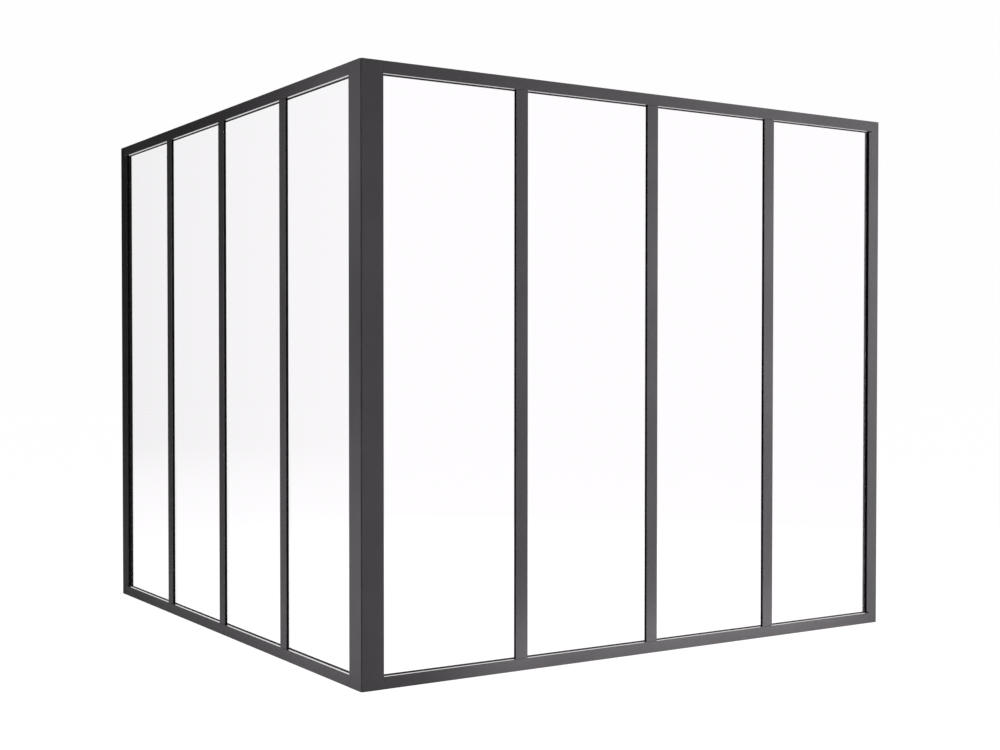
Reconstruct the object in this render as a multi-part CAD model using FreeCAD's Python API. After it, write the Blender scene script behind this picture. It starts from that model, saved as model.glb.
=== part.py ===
import FreeCAD, Part
import math
import os

from FreeCAD import Vector

# Corner glass partition: two framed walls that meet at a right angle, four tall bays each.
# The right wall runs along +X and the left wall along +Y from the outer corner.
# Every piece is drawn in the right wall's own frame: x along the wall, y from the outer face
# inwards and z up. The left wall is the same system, mirrored over the corner's diagonal.

# Overall sizes, mm
height = 2500.0
frame_depth = 40.0
right_length = 2915.0
left_length = 2865.0

# Faces of the members, seen from outside
rail_face = 50.0
right_jamb_face = 65.0
left_jamb_face = 90.0
right_corner_face = 102.0
left_corner_face = 105.0
mullion_face = 60.0

# Mullion centres, from the outer corner
right_first_mullion = 766.0
right_mullion_pitch = 705.0
left_first_mullion = 732.0
left_mullion_pitch = 691.0
mullions_per_wall = 3

# Extrusions
lip_cover = 15.0
lip_wall = 3.0
tube_wall = 2.0
arris = 1.0
joint_gap = 0.2

# Glazing
glass_thickness = 8.0
front_gasket_depth = 12.0
gasket_setback = 0.2
rear_gasket_depth = 2.0
rear_gasket_cover = 10.0
glass_edge_gap = 5.0
block_length = 100.0

# Glazing beads
bead_rise = 20.0
bead_depth = 10.0
bead_land = 3.0
bead_splay = 7.5
bead_wall = 1.5

# Mullion T-bar and its rear cap
flange_end_gap = 1.2
web_thickness = 6.0
web_to_glass = 4.0
tape_depth = 1.0
cap_width = 20.0
cap_depth = 4.0

# Cover strip that holds the glass at a wall's free end
strip_leg = 2.0
strip_end_gap = 5.5

# Open joint along the outer corner
corner_joint = 3.5
joint_strip_setback = 7.0

# Hidden fixings through the frame
fixing_radius = 4.0
access_radius = 7.0
rail_fixing_spacing = 700.0
jamb_fixing_spacing = 600.0
fixings_per_member = 4

# Depths that follow from the glazing
glass_front = lip_wall + front_gasket_depth
glass_back = glass_front + glass_thickness
gasket_cover = lip_cover - gasket_setback - strip_leg
bead_front = glass_back + rear_gasket_depth
cap_front = glass_back + tape_depth
rail_tube = rail_face - lip_cover
rail_bead_top = rail_tube + bead_rise
glass_bottom = rail_tube + glass_edge_gap
mitre_shift = corner_joint / math.sqrt(2)


def section_wire(corners, plane):
    """Closed outline; a corner given as (a, b, r) is rounded with radius r."""
    points = [plane(c[0], c[1]) for c in corners]
    radii = [c[2] if len(c) > 2 else 0.0 for c in corners]
    count = len(points)
    starts = []
    ends = []
    middles = []
    for i in range(count):
        point = points[i]
        back = (points[i - 1] - point).normalize()
        ahead = (points[(i + 1) % count] - point).normalize()
        half = back.getAngle(ahead) / 2
        reach = radii[i] / math.tan(half)
        inward = (back + ahead).normalize()
        starts.append(point + back * reach)
        ends.append(point + ahead * reach)
        middles.append(point + inward * (radii[i] / math.sin(half) - radii[i]))
    edges = []
    for i in range(count):
        if radii[i]:
            edges.append(Part.Arc(starts[i], middles[i], ends[i]).toShape())
        edges.append(Part.LineSegment(ends[i], starts[(i + 1) % count]).toShape())
    return Part.Wire(edges)


def extruded(outer, holes, plane, along):
    """Solid of a section with its hollows."""
    face = Part.Face(section_wire(outer, plane))
    for hole in holes:
        face = face.cut(Part.Face(section_wire(hole, plane))).Faces[0]
    return face.extrude(along)


def upright(outer, z0, z1, holes=()):
    """Extrusion along z of a section given as (x, y) corners."""
    def plane(a, b):
        return Vector(a, b, z0)
    return extruded(outer, holes, plane, Vector(0, 0, z1 - z0))


def level(outer, x0, x1, holes=()):
    """Extrusion along x of a section given as (z, y) corners."""
    def plane(a, b):
        return Vector(x0, b, a)
    return extruded(outer, holes, plane, Vector(x1 - x0, 0, 0))


def rectangle(a0, a1, b0, b1):
    return [(a0, b0), (a1, b0), (a1, b1), (a0, b1)]


def block(x0, x1, y0, y1, z0, z1):
    return Part.makeBox(x1 - x0, y1 - y0, z1 - z0, Vector(x0, y0, z0))


def frame_section(face):
    """Hollow frame profile with a front lip; a runs from the outer edge towards the glass."""
    tube = face - lip_cover
    return [
        (0, 0, arris),
        (face, 0, arris),
        (face, lip_wall),
        (tube, lip_wall),
        (tube, frame_depth, arris),
        (0, frame_depth, arris),
    ]


def frame_hollow(face):
    tube = face - lip_cover
    return rectangle(tube_wall, tube - tube_wall, lip_wall, frame_depth - tube_wall)


def turned(section, edge):
    """The section measured back from a far edge, such as the ceiling or the wall's end."""
    return [(edge - c[0],) + tuple(c[1:]) for c in section]


def bead_section(tube):
    """Snap-in bead that stands on the tube's inner side, splayed away from the glass."""
    top = tube + bead_rise
    back = bead_front + bead_depth
    return [
        (tube, bead_front),
        (top, bead_front, arris),
        (top, bead_front + bead_land),
        (top - bead_splay, back, arris),
        (tube, back),
    ]


def bead_hollow(tube):
    top = tube + bead_rise - bead_wall
    front = bead_front + bead_wall
    back = bead_front + bead_depth - bead_wall
    return [
        (tube + bead_wall, front),
        (top, front),
        (top, bead_front + bead_land - bead_wall / 2),
        (top - bead_splay, back),
        (tube + bead_wall, back),
    ]


def fixing_positions(middle, spacing):
    first = middle - spacing * (fixings_per_member - 1) / 2
    return [first + spacing * i for i in range(fixings_per_member)]


def drilled(solid, starts, direction, tube):
    """Screw holes in the outer wall and wider access holes in the inner wall."""
    for start in starts:
        hole = Part.makeCylinder(fixing_radius, tube / 2, start, direction)
        inner = start + direction * (tube / 2)
        access = Part.makeCylinder(access_radius, tube / 2 + tube_wall, inner, direction)
        solid = solid.cut(hole).cut(access)
    return solid


def rail(wall, at_ceiling):
    """Rail between the jamb tubes. Its front wall passes behind the corner jamb's lip, and at the
    free end it runs on over the jamb tube's rebate."""
    start = wall["corner_tube"]
    end = wall["length"] - wall["jamb_tube"]
    front_end = wall["length"] - rail_face
    section = frame_section(rail_face)
    hollow = frame_hollow(rail_face)
    if at_ceiling:
        section = turned(section, height)
        hollow = turned(hollow, height)
    solid = level(section, start, front_end, [hollow])
    notch = lip_cover + joint_gap
    bottom = height - rail_face if at_ceiling else 0
    top = bottom + rail_face
    solid = solid.cut(block(start, start + notch, 0, lip_wall, bottom, top))
    if front_end > end:
        solid = solid.cut(block(end, front_end, lip_wall, frame_depth, bottom, top))
    edge = height if at_ceiling else 0
    direction = Vector(0, 0, -1) if at_ceiling else Vector(0, 0, 1)
    spots = fixing_positions((start + end) / 2, rail_fixing_spacing)
    starts = [Vector(x, frame_depth / 2, edge) for x in spots]
    return drilled(solid, starts, direction, rail_tube)


def end_jamb(wall):
    """Hollow jamb at a free end, its front as wide as the rails'; a wider tube is rebated there."""
    tube = wall["jamb_tube"]
    side = tube - tube_wall
    back = frame_depth - tube_wall
    front = [(0, 0, arris), (rail_face, 0, arris)]
    inner_front = [(tube_wall, lip_wall), (rail_face - tube_wall, lip_wall)]
    if tube > rail_face:
        front += [(rail_face, lip_wall), (tube, lip_wall)]
        inner_front += [(rail_face - tube_wall, 2 * lip_wall), (side, 2 * lip_wall)]
    section = front + [(tube, frame_depth, arris), (0, frame_depth, arris)]
    hollow = inner_front + [(side, back), (tube_wall, back)]
    solid = upright(turned(section, wall["length"]), 0, height, [turned(hollow, wall["length"])])
    spots = fixing_positions(height / 2, jamb_fixing_spacing)
    starts = [Vector(wall["length"], frame_depth / 2, z) for z in spots]
    return drilled(solid, starts, Vector(-1, 0, 0), tube)


def end_strip(wall):
    """Cover strip beside the end jamb's front, with a leg to the glass; it stops short of the rails."""
    tube = wall["jamb_tube"]
    section = [
        (rail_face, 0, arris),
        (wall["jamb_face"], 0, arris),
        (wall["jamb_face"], lip_wall),
        (tube + strip_leg, lip_wall),
        (tube + strip_leg, glass_front),
        (tube, glass_front),
    ]
    if tube > rail_face:
        section += [(tube, lip_wall), (rail_face, lip_wall)]
    bottom = rail_face + strip_end_gap
    return upright(turned(section, wall["length"]), bottom, height - bottom)


def corner_jamb(wall):
    """Wide hollow jamb cut to 45 degrees along the corner's open joint."""
    tube = wall["corner_tube"]
    section = [
        (mitre_shift, 0, arris),
        (wall["corner_face"], 0, arris),
        (wall["corner_face"], lip_wall),
        (tube, lip_wall),
        (tube, frame_depth, arris),
        (frame_depth + mitre_shift, frame_depth),
    ]
    mitre_wall = mitre_shift + tube_wall * math.sqrt(2)
    back = frame_depth - tube_wall
    hollow = [
        (lip_wall + mitre_wall, lip_wall),
        (tube - tube_wall, lip_wall),
        (tube - tube_wall, back),
        (back + mitre_wall, back),
    ]
    return upright(section, 0, height, [hollow])


def corner_joint_strip():
    """Strip that fills the corner's open joint from just behind the faces."""
    half = mitre_shift / 2
    near = joint_strip_setback
    far = frame_depth
    section = [
        (near + half, near - half),
        (far + half, far - half),
        (far - half, far + half),
        (near - half, near + half),
    ]
    return upright(section, 0, height)


def mullion(centre):
    """T-bar: a web that passes between two panes, and a wide front flange, a little shorter."""
    side = mullion_face / 2
    web = web_thickness / 2
    section = [
        (centre - side, 0, arris),
        (centre + side, 0, arris),
        (centre + side, lip_wall),
        (centre + web, lip_wall),
        (centre + web, cap_front),
        (centre - web, cap_front),
        (centre - web, lip_wall),
        (centre - side, lip_wall),
    ]
    bottom = rail_face + joint_gap
    top = height - bottom
    solid = upright(section, bottom, top)
    for z0, z1 in ((bottom, rail_face + flange_end_gap), (height - rail_face - flange_end_gap, top)):
        solid = solid.cut(block(centre - side, centre + side, 0, lip_wall, z0, z1))
    return solid


def mullion_cap(centre):
    """Slim rear cap that clamps the panes against the mullion."""
    side = cap_width / 2
    back = cap_front + cap_depth
    section = [
        (centre - side, cap_front),
        (centre + side, cap_front),
        (centre + side, back, arris),
        (centre - side, back, arris),
    ]
    return upright(section, rail_bead_top + joint_gap, height - rail_bead_top - joint_gap)


def mullion_gaskets(centre):
    """Deep front gaskets on both sides of the web, and the thin tapes under the cap."""
    web = web_thickness / 2
    side = mullion_face / 2 - gasket_setback
    z0 = rail_face + joint_gap
    z1 = height - rail_face - joint_gap
    tape_inner = web + web_to_glass
    tape_outer = cap_width / 2
    cap_z0 = rail_bead_top + joint_gap
    cap_z1 = height - rail_bead_top - joint_gap
    return [
        upright(rectangle(centre - side, centre - web, lip_wall, glass_front), z0, z1),
        upright(rectangle(centre + web, centre + side, lip_wall, glass_front), z0, z1),
        upright(rectangle(centre - tape_outer, centre - tape_inner, glass_back, cap_front), cap_z0, cap_z1),
        upright(rectangle(centre + tape_inner, centre + tape_outer, glass_back, cap_front), cap_z0, cap_z1),
    ]


def panes(wall):
    """One pane for each bay, its upright edges hidden behind the jamb lips and mullions."""
    clear = web_thickness / 2 + web_to_glass
    starts = [wall["corner_tube"] + glass_edge_gap] + [c + clear for c in wall["mullions"]]
    ends = [c - clear for c in wall["mullions"]]
    ends.append(wall["length"] - wall["jamb_tube"] - glass_edge_gap)
    top = height - glass_bottom
    return [block(a, b, glass_front, glass_back, glass_bottom, top) for a, b in zip(starts, ends)]


def setting_blocks(wall):
    """Two blocks under each pane, at its quarter points."""
    blocks = []
    for pane in panes(wall):
        box = pane.BoundBox
        for share in (0.25, 0.75):
            start = box.XMin + box.XLength * share - block_length / 2
            blocks.append(block(start, start + block_length, glass_front, glass_back, rail_tube, glass_bottom))
    return blocks


def glazing_beads(wall):
    """Beads on four sides: level ones between the jamb tubes, upright ones between them."""
    start = wall["corner_tube"]
    end = wall["length"] - wall["jamb_tube"]
    low = bead_section(rail_tube)
    low_hollow = bead_hollow(rail_tube)
    z0 = rail_bead_top + joint_gap
    z1 = height - rail_bead_top - joint_gap
    near = bead_section(wall["corner_tube"])
    near_hollow = bead_hollow(wall["corner_tube"])
    far = turned(bead_section(wall["jamb_tube"]), wall["length"])
    far_hollow = turned(bead_hollow(wall["jamb_tube"]), wall["length"])
    return {
        "bottom_bead": level(low, start, end, [low_hollow]),
        "top_bead": level(turned(low, height), start, end, [turned(low_hollow, height)]),
        "corner_bead": upright(near, z0, z1, [near_hollow]),
        "end_bead": upright(far, z0, z1, [far_hollow]),
    }


def frame_gaskets(wall, y0, y1, inner, cover):
    """Four straight gaskets around a wall, from a depth y0 to y1 against the glass."""
    start = wall["corner_tube"]
    end = wall["length"] - wall["jamb_tube"]
    z0 = rail_tube + inner
    z1 = z0 + cover
    x0 = start + inner
    x1 = end - inner
    return [
        level(rectangle(z0, z1, y0, y1), x0, x1),
        level(rectangle(height - z1, height - z0, y0, y1), x0, x1),
        upright(rectangle(x0, x0 + cover, y0, y1), z1 + joint_gap, height - z1 - joint_gap),
        upright(rectangle(x1 - cover, x1, y0, y1), z1 + joint_gap, height - z1 - joint_gap),
    ]


def make_wall(length, jamb_face, corner_face, first_mullion, pitch):
    return {
        "length": length,
        "jamb_face": jamb_face,
        "jamb_tube": jamb_face - lip_cover,
        "corner_face": corner_face,
        "corner_tube": corner_face - lip_cover,
        "mullions": [first_mullion + pitch * i for i in range(mullions_per_wall)],
    }


def wall_pieces(wall):
    """Every piece of one wall, drawn in the right wall's frame."""
    pieces = {
        "sole_rail": rail(wall, False),
        "head_rail": rail(wall, True),
        "end_jamb": end_jamb(wall),
        "end_strip": end_strip(wall),
        "corner_jamb": corner_jamb(wall),
    }
    gaskets = []
    for number, centre in enumerate(wall["mullions"], start=1):
        pieces["mullion_%d" % number] = mullion(centre)
        gaskets += mullion_gaskets(centre)
    for number, pane in enumerate(panes(wall), start=1):
        pieces["glass_%d" % number] = pane
    pieces.update(glazing_beads(wall))
    caps = [mullion_cap(centre) for centre in wall["mullions"]]
    rear_inner = lip_cover - rear_gasket_cover
    front = frame_gaskets(wall, lip_wall, glass_front, strip_leg, gasket_cover)
    rear = frame_gaskets(wall, glass_back, bead_front, rear_inner, rear_gasket_cover)
    pieces["mullion_caps"] = Part.makeCompound(caps)
    pieces["mullion_gaskets"] = Part.makeCompound(gaskets)
    pieces["front_gaskets"] = Part.makeCompound(front)
    pieces["rear_gaskets"] = Part.makeCompound(rear)
    pieces["setting_blocks"] = Part.makeCompound(setting_blocks(wall))
    return pieces


def write(name, shape):
    """Moves a piece from the outer corner's frame to the part's frame and writes it."""
    placed = shape.copy()
    placed.translate(Vector(-right_length / 2, -left_length / 2, 0))
    placed.exportStep("parts/%s.step" % name)


os.makedirs("parts", exist_ok=True)

right_wall = make_wall(
    right_length, right_jamb_face, right_corner_face, right_first_mullion, right_mullion_pitch
)
left_wall = make_wall(
    left_length, left_jamb_face, left_corner_face, left_first_mullion, left_mullion_pitch
)

for name, shape in wall_pieces(right_wall).items():
    write("right_" + name, shape)

for name, shape in wall_pieces(left_wall).items():
    write("left_" + name, shape.mirror(Vector(0, 0, 0), Vector(1, -1, 0)))

write("corner_joint_strip", corner_joint_strip())
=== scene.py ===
import math
import bmesh
import bpy
from mathutils import Matrix, Vector

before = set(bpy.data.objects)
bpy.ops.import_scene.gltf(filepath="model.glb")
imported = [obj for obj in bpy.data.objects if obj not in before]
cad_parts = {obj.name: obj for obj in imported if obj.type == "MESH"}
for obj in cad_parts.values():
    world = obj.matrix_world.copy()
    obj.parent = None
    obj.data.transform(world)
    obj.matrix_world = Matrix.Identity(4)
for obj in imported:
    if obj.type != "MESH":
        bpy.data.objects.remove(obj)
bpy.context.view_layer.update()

print("Corner glass partition: the frame is loaded")

shading = {
    "noiseSpan": (0.35, 0.65),  # the levels between which a noise texture mostly stays
    "noiseDetail": 2.0,
    "mixShare": 0,  # the sockets of a Mix node that work on colours
    "mixFirst": 6,
    "mixSecond": 7,
    "mixResult": 2,
}


class Wire:  # one node output, which takes part in sums
    def __init__(self, sheet, socket):
        self.sheet = sheet
        self.socket = socket

    def maths(self, operation, first, second):
        return self.sheet.add("ShaderNodeMath", {"operation": operation}, {0: first, 1: second})

    def larger(self, other):
        return self.maths("MAXIMUM", self, other)

    def above(self, limit):
        return self.maths("GREATER_THAN", self, limit)

    def __add__(self, other):
        return self.maths("ADD", self, other)

    def __radd__(self, other):
        return self.maths("ADD", other, self)

    def __sub__(self, other):
        return self.maths("SUBTRACT", self, other)

    def __rsub__(self, other):
        return self.maths("SUBTRACT", other, self)

    def __mul__(self, other):
        return self.maths("MULTIPLY", self, other)

    def __rmul__(self, other):
        return self.maths("MULTIPLY", other, self)


class NodeSheet:  # a node tree, and the one way to add a node to it
    def __init__(self, tree):
        self.tree = tree
        tree.nodes.clear()

    def add(self, kind, settings, sockets, output=0):
        node = self.tree.nodes.new(kind)
        for name, value in settings.items():
            setattr(node, name, value)
        for name, value in sockets.items():
            if isinstance(value, Wire):
                self.tree.links.new(value.socket, node.inputs[name])
            else:
                node.inputs[name].default_value = value
        return Wire(self, node.outputs[output]) if node.outputs else None

    def places(self):  # each point in the piece's own metres
        return self.add("ShaderNodeTexCoord", {}, {}, "Object")

    def rayIs(self, kind):  # 1 for light paths of this kind
        return self.add("ShaderNodeLightPath", {}, {}, "Is " + kind + " Ray")

    def noise(self, places, scale, detail=shading["noiseDetail"]):
        return self.add("ShaderNodeTexNoise", {}, {"Vector": places, "Scale": scale, "Detail": detail})

    def stretch(self, value, span, levels, curve="LINEAR"):  # from one span of values to another
        return self.add("ShaderNodeMapRange", {"interpolation_type": curve}, {
            "Value": value, "From Min": span[0], "From Max": span[1],
            "To Min": levels[0], "To Max": levels[1]})

    def spread(self, value, levels=(0, 1)):  # a noise value stretched between two levels
        return self.stretch(value, shading["noiseSpan"], levels)

    def towards(self, direction, middle):  # 1 straight at the middle, -1 away from it
        return self.add("ShaderNodeVectorMath", {"operation": "DOT_PRODUCT"},
                        {0: direction, 1: middle}, "Value")

    def mixColour(self, share, first, second):
        colours = {shading["mixShare"]: share, shading["mixFirst"]: first, shading["mixSecond"]: second}
        return self.add("ShaderNodeMix", {"data_type": "RGBA"}, colours, shading["mixResult"])

    def mixShader(self, share, first, second):
        return self.add("ShaderNodeMixShader", {}, {0: share, 1: first, 2: second})


def newFinish(name):
    material = bpy.data.materials.new(name)
    material.use_nodes = True
    return material, NodeSheet(material.node_tree)


def finishSurface(sheet, shader):
    sheet.add("ShaderNodeOutputMaterial", {}, {"Surface": shader})


# Camera, at the photograph's place and angle
camera = {
    "place": (-4.1189, -6.4615, 1.3132),
    "turn": 31.8957,  # degrees from +Y towards +X
    "dip": 1.0902,  # degrees below the horizon
    "lens": 51.918,
    "filmWidth": 36.0,
    "shiftAcross": 0.0379,
    "shiftUp": 0.01277,
    "sees": 200.0,  # metres
}


def makeCamera():
    lens = bpy.data.cameras.new("viewCamera")
    lens.lens = camera["lens"]
    lens.sensor_fit = "HORIZONTAL"
    lens.sensor_width = camera["filmWidth"]
    lens.shift_x = camera["shiftAcross"]
    lens.shift_y = camera["shiftUp"]
    lens.clip_end = camera["sees"]
    view = bpy.data.objects.new("viewCamera", lens)
    view.location = camera["place"]
    view.rotation_euler = (math.radians(90 - camera["dip"]), 0, -math.radians(camera["turn"]))
    bpy.context.scene.collection.objects.link(view)
    bpy.context.scene.camera = view


# Room: white where it is seen, dim to matt surfaces, and brighter on one side in reflections
room = {
    "white": (1.0, 0.991, 1.0, 1),
    "ambient": 0.05,  # what it gives to matt surfaces
    "farSide": (-0.35, 0.94, 0),  # where it is dimmer, seen from the outer corner
    "dimLevel": 0.03,
    "brightLevel": 1.0,
    "backPanel": (0.6, 0.8, 0),  # middle of the lit backdrop behind the part
    "panelEdge": (0.70, 0.88),  # how far towards its middle it starts and is full
    "panelLevel": 0.8,
}


def roomLevel(sheet, direction):  # the room's brightness in a direction, as reflections see it
    wall = sheet.stretch(sheet.towards(direction, room["farSide"]), (-1, 1),
                         (room["brightLevel"], room["dimLevel"]))
    panel = sheet.stretch(sheet.towards(direction, room["backPanel"]), room["panelEdge"],
                          (0, room["panelLevel"]), "SMOOTHSTEP")
    return wall + panel


def seenDirectly(sheet):  # by the camera, or through the glass
    return sheet.rayIs("Camera").larger(sheet.rayIs("Transmission"))


def makeWorld():
    world = bpy.data.worlds.new("studioRoom")
    world.use_nodes = True
    bpy.context.scene.world = world
    sheet = NodeSheet(world.node_tree)
    seen = seenDirectly(sheet)
    isGlossy = sheet.rayIs("Glossy")
    direction = sheet.add("ShaderNodeTexCoord", {}, {}, "Generated")
    level = isGlossy * roomLevel(sheet, direction) + (1 - isGlossy) * room["ambient"]
    strength = seen + (1 - seen) * level
    sky = sheet.add("ShaderNodeBackground", {}, {"Color": room["white"], "Strength": strength})
    sheet.add("ShaderNodeOutputWorld", {}, {"Surface": sky})


# Floor: pale and matt, with a glow of its own for the camera and for reflections
ground = {
    "half": 30.0,  # metres from the middle to an edge
    "colour": (0.8, 0.795, 0.8, 1),
    "glowShare": 0.88,  # the rest takes light and shadow
    "seenLevel": 1.135,
    "reflectedLevel": 0.95,  # near the part
    "fade": (5.0, 18.0),  # metres between which its reflection becomes the room's
}


def makeFloor():
    mesh = bpy.data.meshes.new("studioFloor")
    shape = bmesh.new()
    bmesh.ops.create_grid(shape, x_segments=1, y_segments=1, size=ground["half"], matrix=Matrix())
    shape.to_mesh(mesh)
    shape.free()
    floor = bpy.data.objects.new("studioFloor", mesh)
    bpy.context.scene.collection.objects.link(floor)
    material, sheet = newFinish("paleFloor")
    seen = seenDirectly(sheet)
    isGlossy = sheet.rayIs("Glossy")
    places = sheet.places()
    distance = sheet.add("ShaderNodeVectorMath", {"operation": "LENGTH"}, {0: places}, "Value")
    direction = sheet.add("ShaderNodeVectorMath", {"operation": "NORMALIZE"}, {0: places})
    far = sheet.stretch(distance, ground["fade"], (0, 1), "SMOOTHSTEP")
    reflected = far * roomLevel(sheet, direction) + (1 - far) * ground["reflectedLevel"]
    strength = seen * ground["seenLevel"] + (1 - seen) * reflected
    glow = sheet.add("ShaderNodeEmission", {}, {"Color": room["white"], "Strength": strength})
    matt = sheet.add("ShaderNodeBsdfDiffuse", {}, {"Color": ground["colour"]})
    finishSurface(sheet, sheet.mixShader(seen.larger(isGlossy) * ground["glowShare"], matt, glow))
    mesh.materials.append(material)


# Lamps: place, what each one faces, width and height in metres, power in watts
lamps = {
    "rightLamp": {"place": (1.35, -4.3, 2.05), "aim": (1.35, -1.43, 1.25),
                  "size": (1.6, 1.2), "power": 220},
    "highLamp": {"place": (-2.33, -1.47, 2.5), "aim": (-1.46, -0.8, 1.25),
                 "size": (0.4, 0.4), "power": 15},
    "lowLamp": {"place": (-2.58, -1.43, 0.3), "aim": (-1.46, -0.8, 1.25),
                "size": (0.4, 0.4), "power": 21},
    "rightFootLamp": {"place": (0.2, -1.70, 0.05), "aim": (0.2, -1.43, 0.05),
                      "size": (2.4, 0.04), "power": 4.5},  # a strip along the sole rail
    "farLamp": {"place": (-4.2, 1.2, 1.9), "aim": (-1.46, 1.2, 1.5),
                "size": (1.2, 1.2), "power": 14},
    "backLamp": {"place": (2.3, 2.3, 2.6), "aim": (0, 0, 1.0),
                 "size": (1.6, 1.2), "power": 150},
    "leftFootLamp": {"place": (-1.73, -0.2, 0.05), "aim": (-1.46, -0.2, 0.05),
                     "size": (2.4, 0.04), "power": 1.4},
}


def makeLamp(name, values):
    light = bpy.data.lights.new(name, "AREA")
    light.shape = "RECTANGLE"
    light.size, light.size_y = values["size"]
    light.energy = values["power"]
    lamp = bpy.data.objects.new(name, light)
    lamp.location = values["place"]
    aim = Vector(values["aim"]) - Vector(values["place"])
    lamp.rotation_euler = aim.to_track_quat("-Z", "Y").to_euler()
    lamp.visible_camera = False
    lamp.visible_transmission = False
    lamp.visible_glossy = False
    bpy.context.scene.collection.objects.link(lamp)


# Powder coat of the profiles: a faint cloud of tone, a fine grain; some copies carry painted shade or
# light
powderCoat = {
    "dark": (0.050, 0.047, 0.050),
    "light": (0.056, 0.0525, 0.056),
    "cloudScale": 3.0,
    "cloudDetail": 3.0,
    "grainScale": 900.0,  # grains a metre
    "grainDepth": 0.00006,
    "grainStrength": 0.5,
    "roughness": (0.46, 0.54),
    "plain": (1.0, 0.06),  # share of the colour, and how much it shines
    "paintedShadeEnd": (0.5, 0.06),  # painted shade: a darker copy of the coat on the left wall's end
    "bead": (0.3, 0.0),  # painted shade: a darker copy of the coat, with no shine, on the beads behind the glass
    # painted light: a lighter copy of the coat on the right wall's end bead
    "paintedLightBead": (1.5, 0.06),
    # painted light: a lighter copy of the coat on the right wall's rear gaskets
    "paintedLightGasket": (1.5, 0.06),
}


def shaded(colour, share):
    return (*[level * share for level in colour], 1)


def makePowderCoat(kind):
    material, sheet = newFinish(kind + "PowderCoat")
    # shade scales the coat's colour: below 1 it is painted shade, above 1 painted light
    shade, sheen = powderCoat[kind]
    places = sheet.places()
    cloud = sheet.noise(places, powderCoat["cloudScale"], powderCoat["cloudDetail"])
    grain = sheet.noise(places, powderCoat["grainScale"])
    colour = sheet.mixColour(sheet.spread(cloud), shaded(powderCoat["dark"], shade),
                             shaded(powderCoat["light"], shade))
    bump = sheet.add("ShaderNodeBump", {}, {
        "Height": grain, "Distance": powderCoat["grainDepth"], "Strength": powderCoat["grainStrength"]})
    coat = sheet.add("ShaderNodeBsdfPrincipled", {}, {
        "Base Color": colour, "Roughness": sheet.spread(grain, powderCoat["roughness"]),
        "Normal": bump, "Specular IOR Level": sheen})
    finishSurface(sheet, coat)
    return material


# Gaskets: dull black rubber, with a painted sheen: a bright metal finish on their level faces beside
# the rails
gasket = {
    "dark": (0.003, 0.003, 0.003, 1),
    "light": (0.006, 0.006, 0.006, 1),
    "streakScale": 40.0,
    "dullRoughness": 0.6,
    # painted sheen: the bright metal colour that the level faces get
    "sheen": (0.80, 0.79, 0.80, 1),
    "sheenRoughness": (0.28, 0.36),
    "levelRise": 0.5,  # a face is level where its normal's rise, squared, is above this
}


def makeGasket():
    material, sheet = newFinish("blackGasket")
    streak = sheet.noise(sheet.places(), gasket["streakScale"])
    facing = sheet.add("ShaderNodeNewGeometry", {}, {}, "Normal")
    rise = sheet.add("ShaderNodeSeparateXYZ", {}, {0: facing}, "Z")
    # the level faces, which get the painted sheen
    isLevel = (rise * rise).above(gasket["levelRise"])
    dull = sheet.add("ShaderNodeBsdfPrincipled", {}, {
        "Base Color": sheet.mixColour(sheet.spread(streak), gasket["dark"], gasket["light"]),
        "Roughness": gasket["dullRoughness"], "Specular IOR Level": 0.0})
    paintedSheen = sheet.add("ShaderNodeBsdfPrincipled", {}, {
        "Base Color": gasket["sheen"], "Roughness": sheet.spread(streak, gasket["sheenRoughness"]),
        "Metallic": 1.0})
    finishSurface(sheet, sheet.mixShader(isLevel, dull, paintedSheen))
    return material


# Glass: reflects where light enters it and not where light leaves, and casts next to no shadow
glass = {"tint": (0.995, 0.99, 0.995, 1), "index": 1.25, "roughness": 0.0}


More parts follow.
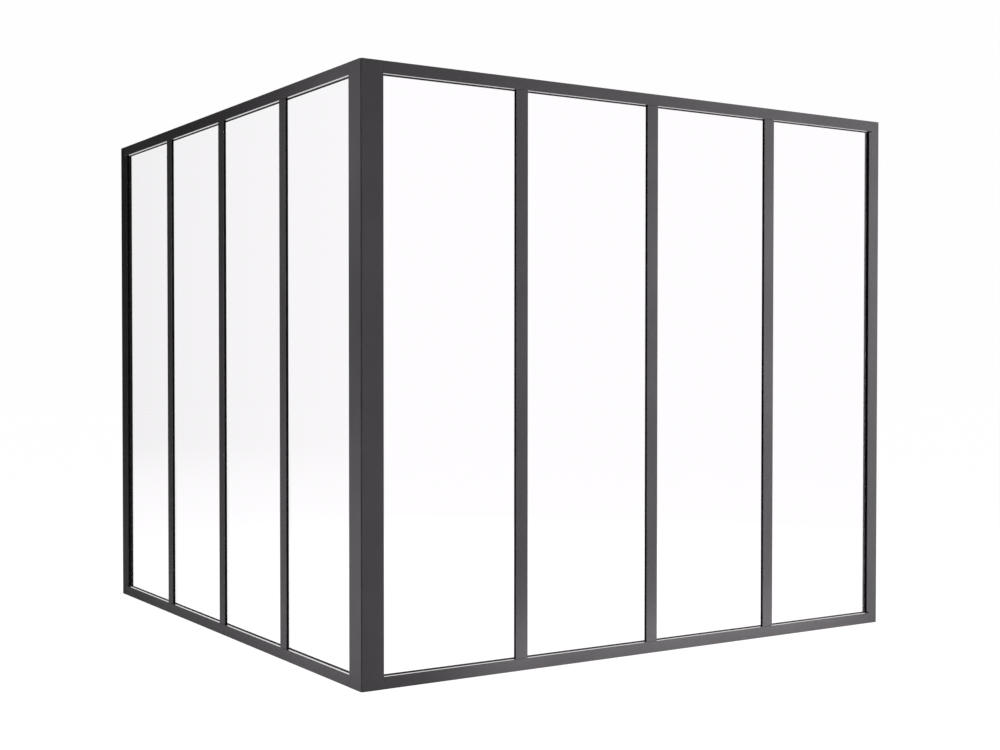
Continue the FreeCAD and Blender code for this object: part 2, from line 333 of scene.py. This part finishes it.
def makeGlass():
    material, sheet = newFinish("clearGlass")
    entering = sheet.add("ShaderNodeBsdfPrincipled", {}, {
        "Base Color": glass["tint"], "Roughness": glass["roughness"], "IOR": glass["index"],
        "Transmission Weight": 1.0})
    leaving = sheet.add("ShaderNodeBsdfRefraction", {}, {
        "Color": glass["tint"], "Roughness": glass["roughness"], "IOR": glass["index"]})
    fromInside = sheet.add("ShaderNodeNewGeometry", {}, {}, "Backfacing")
    pane = sheet.mixShader(fromInside, entering, leaving)
    clear = sheet.add("ShaderNodeBsdfTransparent", {}, {"Color": glass["tint"]})
    passes = sheet.rayIs("Shadow").larger(sheet.rayIs("Diffuse"))
    finishSurface(sheet, sheet.mixShader(passes, pane, clear))
    return material


# Setting blocks: dark plastic
block = {
    "dark": (0.010, 0.010, 0.010, 1),
    "light": (0.016, 0.016, 0.016, 1),
    "cloudScale": 60.0,
    "roughness": (0.5, 0.62),
}


def makeBlock():
    material, sheet = newFinish("settingBlock")
    cloud = sheet.noise(sheet.places(), block["cloudScale"])
    plastic = sheet.add("ShaderNodeBsdfPrincipled", {}, {
        "Base Color": sheet.mixColour(sheet.spread(cloud), block["dark"], block["light"]),
        "Roughness": sheet.spread(cloud, block["roughness"])})
    finishSurface(sheet, plastic)
    return material


# Pieces with a coat of their own, most with painted shade or light, and those that reflections show
dressing = {
    # painted shade on the left wall's end jamb and strip
    "paintedShadeEnd": ("left_end_strip", "left_end_jamb"),
    # painted shade on the beads
    "bead": ("top_bead", "bottom_bead", "left_end_bead"),
    # painted light on the right wall's end bead
    "paintedLightBead": ("right_end_bead",),
    # painted light on the right wall's rear gaskets
    "paintedLightGasket": ("right_rear_gaskets",),
    "plain": ("left_rear_gaskets",),  # grey, as the beads it sits under
    "reflected": ("front_gaskets", "mullion_gaskets"),
}


def dressNodes():
    finishes = {"dark_powder_coat": makePowderCoat("plain"), "black_gasket": makeGasket(),
                "clear_glass": makeGlass(), "setting_block": makeBlock()}
    coats = {kind: makePowderCoat(kind) for kind in ("paintedShadeEnd", "bead", "paintedLightBead", "paintedLightGasket")}
    coats["plain"] = finishes["dark_powder_coat"]
    for name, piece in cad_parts.items():
        for place in piece.material_slots:
            place.material = finishes[place.material.name]
            for kind, coat in coats.items():
                if name.endswith(dressing[kind]):
                    place.material = coat
        piece.visible_glossy = name.endswith(dressing["reflected"])


makeCamera()
makeWorld()
makeFloor()
for name, values in lamps.items():
    makeLamp(name, values)
print("Studio is set")
dressNodes()
print("Finishes are on")

bpy.context.scene.view_settings.view_transform = "Standard"
